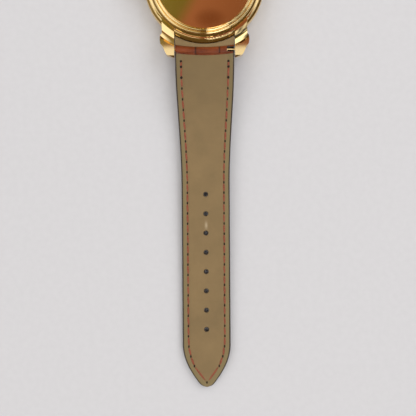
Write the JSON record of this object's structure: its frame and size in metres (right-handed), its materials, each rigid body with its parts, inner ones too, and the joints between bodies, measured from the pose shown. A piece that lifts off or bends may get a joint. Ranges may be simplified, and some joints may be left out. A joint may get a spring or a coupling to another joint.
{
  "type": "wristwatch",
  "caption": "Round gold mechanical dress watch lying dial down, with a stepped snap back, lugs and a padded leather strap with a pin buckle.",
  "frame": {"origin": "centre of the crystal's outer face, the face that the watch lies on", "axes": "+Z out of the case back, +Y to twelve o'clock and the buckle half of the strap, -X to the crown"},
  "size_m": [0.0436, 0.2431, 0.0102],
  "materials": {
    "gold_case": "polished yellow gold plate",
    "gold_dial_parts": "polished gold",
    "crystal_glass": "clear, polished",
    "black_rubber": "matt",
    "dial_paint": "satin off-white lacquer",
    "movement_steel": "brushed nickel and steel",
    "spring_steel": "blued or grey spring steel",
    "movement_brass": "satin gilt brass",
    "ruby": "polished synthetic ruby",
    "alligator_leather": "semi-gloss brown scale-embossed leather",
    "lining_leather": "matt khaki lining leather",
    "filler_leather": "plain undyed leather",
    "thread": "waxed reddish-brown thread"
  },
  "bodies": {
    "case": {"mid_case": "gold_case", "bezel": "gold_case", "crystal": "crystal_glass", "crystal_gasket": "black_rubber", "case_back": "gold_case", "case_back_gasket": "black_rubber", "crown_tube": "gold_case", "dial": "dial_paint", "hour_markers": "gold_dial_parts", "dial_flange": "dial_paint", "movement_ring": "movement_steel", "casing_screws": "movement_steel", "main_plate": "movement_brass", "barrel_bridge": "movement_steel", "train_bridge": "movement_steel", "balance_cock": "movement_steel", "pallet_bridge": "movement_steel", "bridge_screws": "movement_steel", "jewels": "ruby", "click": "movement_steel"},
    "winding": {"winding_pinion": "movement_steel", "sliding_pinion": "movement_steel"},
    "crown": {"crown": "gold_case", "crown_gasket": "black_rubber", "winding_stem": "movement_steel"},
    "crown_wheel": {"crown_wheel": "movement_steel"},
    "ratchet": {"ratchet_wheel": "movement_steel", "barrel_arbor": "movement_steel"},
    "barrel": {"mainspring_barrel": "movement_brass", "mainspring": "spring_steel"},
    "centre": {"centre_wheel": "movement_brass", "cannon_pinion": "movement_steel", "minute_hand": "gold_dial_parts"},
    "third": {"third_wheel": "movement_brass"},
    "fourth": {"fourth_wheel": "movement_brass", "seconds_hand": "gold_dial_parts"},
    "escape": {"escape_wheel": "movement_steel"},
    "pallet": {"pallet_fork": "movement_steel"},
    "balance": {"balance_wheel": "movement_brass", "hairspring": "spring_steel"},
    "minute_work": {"minute_wheel": "movement_brass"},
    "hour_work": {"hour_wheel": "movement_brass", "hour_hand": "gold_dial_parts"},
    "long_strap": {"long_spring_bar": "gold_case", "long_front": "alligator_leather", "long_filler": "filler_leather", "long_lining": "lining_leather", "long_curved_end": "lining_leather", "long_thread": "thread"},
    "short_strap": {"short_spring_bar": "gold_case", "short_front": "alligator_leather", "short_filler": "filler_leather", "short_lining": "lining_leather", "short_curved_end": "lining_leather", "short_thread": "thread", "fixed_keeper": "alligator_leather"},
    "sliding_keeper": {"sliding_keeper": "alligator_leather"},
    "buckle": {"buckle_frame": "gold_case", "buckle_bar": "gold_case"},
    "tongue": {"buckle_tongue": "gold_case"}
  },
  "joints": [
    {"name": "seconds_turn", "type": "hinge", "parent": "case", "child": "fourth", "pos_m": [0, -0.0072, 0.005], "axis": [0, 0, 1], "continuous": true},
    {"name": "third_turn", "type": "hinge", "parent": "case", "child": "third", "pos_m": [-0.00319, -0.00414, 0.005], "axis": [0, 0, 1], "continuous": true},
    {"name": "minutes_turn", "type": "hinge", "parent": "case", "child": "centre", "pos_m": [0, 0, 0.005], "axis": [0, 0, 1], "continuous": true},
    {"name": "escape_turn", "type": "hinge", "parent": "case", "child": "escape", "pos_m": [0.0038, -0.00858, 0.005], "axis": [0, 0, 1], "continuous": true},
    {"name": "barrel_turn", "type": "hinge", "parent": "case", "child": "barrel", "pos_m": [-0.00284, 0.00609, 0.005], "axis": [0, 0, 1], "continuous": true},
    {"name": "minute_work_turn", "type": "hinge", "parent": "case", "child": "minute_work", "pos_m": [0.0012, 0.00208, 0.005], "axis": [0, 0, 1], "continuous": true},
    {"name": "hours_turn", "type": "hinge", "parent": "case", "child": "hour_work", "pos_m": [0, 0, 0.005], "axis": [0, 0, 1], "continuous": true},
    {"name": "pallet_rock", "type": "hinge", "parent": "case", "child": "pallet", "pos_m": [0.0055, -0.00599, 0.005], "axis": [0, 0, 1], "range_deg": [-5, 5]},
    {"name": "balance_swing", "type": "hinge", "parent": "case", "child": "balance", "pos_m": [0.008, -0.0022, 0.005], "axis": [0, 0, 1], "range_deg": [-270, 270], "stiffness_Nm_per_rad": 0.0000004},
    {"name": "crown_turn", "type": "hinge", "parent": "case", "child": "winding", "pos_m": [-0.014, 0, 0.0056], "axis": [-1, 0, 0], "continuous": true},
    {"name": "crown_pull", "type": "slide", "parent": "winding", "child": "crown", "axis": [-1, 0, 0], "range_m": [0, 0.001]},
    {"name": "crown_wheel_turn", "type": "hinge", "parent": "case", "child": "crown_wheel", "pos_m": [-0.00575, 0, 0.005], "axis": [0, 0, 1], "continuous": true},
    {"name": "ratchet_turn", "type": "hinge", "parent": "case", "child": "ratchet", "pos_m": [-0.00284, 0.00609, 0.005], "axis": [0, 0, 1], "continuous": true},
    {"name": "long_strap_hinge", "type": "hinge", "parent": "case", "child": "long_strap", "pos_m": [0, -0.022, 0.0064], "axis": [-1, 0, 0], "range_deg": [-10, 75]},
    {"name": "short_strap_hinge", "type": "hinge", "parent": "case", "child": "short_strap", "pos_m": [0, 0.022, 0.0064], "axis": [1, 0, 0], "range_deg": [-10, 75]},
    {"name": "keeper_slide", "type": "slide", "parent": "short_strap", "child": "sliding_keeper", "axis": [0, 1, 0], "range_m": [-0.009, 0.005]},
    {"name": "buckle_hinge", "type": "hinge", "parent": "short_strap", "child": "buckle", "pos_m": [0, 0.097, 0.00505], "axis": [1, 0, 0], "range_deg": [-15, 90]},
    {"name": "tongue_hinge", "type": "hinge", "parent": "buckle", "child": "tongue", "pos_m": [0, 0.097, 0.00505], "axis": [1, 0, 0], "range_deg": [-90, 0]}
  ],
  "couplings": [
    {"joint": "third_turn", "follows": "seconds_turn", "ratio": -0.13333},
    {"joint": "minutes_turn", "follows": "seconds_turn", "ratio": 0.016667},
    {"joint": "escape_turn", "follows": "seconds_turn", "ratio": -10},
    {"joint": "barrel_turn", "follows": "seconds_turn", "ratio": -0.0027778},
    {"joint": "minute_work_turn", "follows": "seconds_turn", "ratio": -0.0055556},
    {"joint": "hours_turn", "follows": "seconds_turn", "ratio": 0.0013889},
    {"joint": "crown_wheel_turn", "follows": "crown_turn", "ratio": -0.7},
    {"joint": "ratchet_turn", "follows": "crown_turn", "ratio": 0.425}
  ]
}
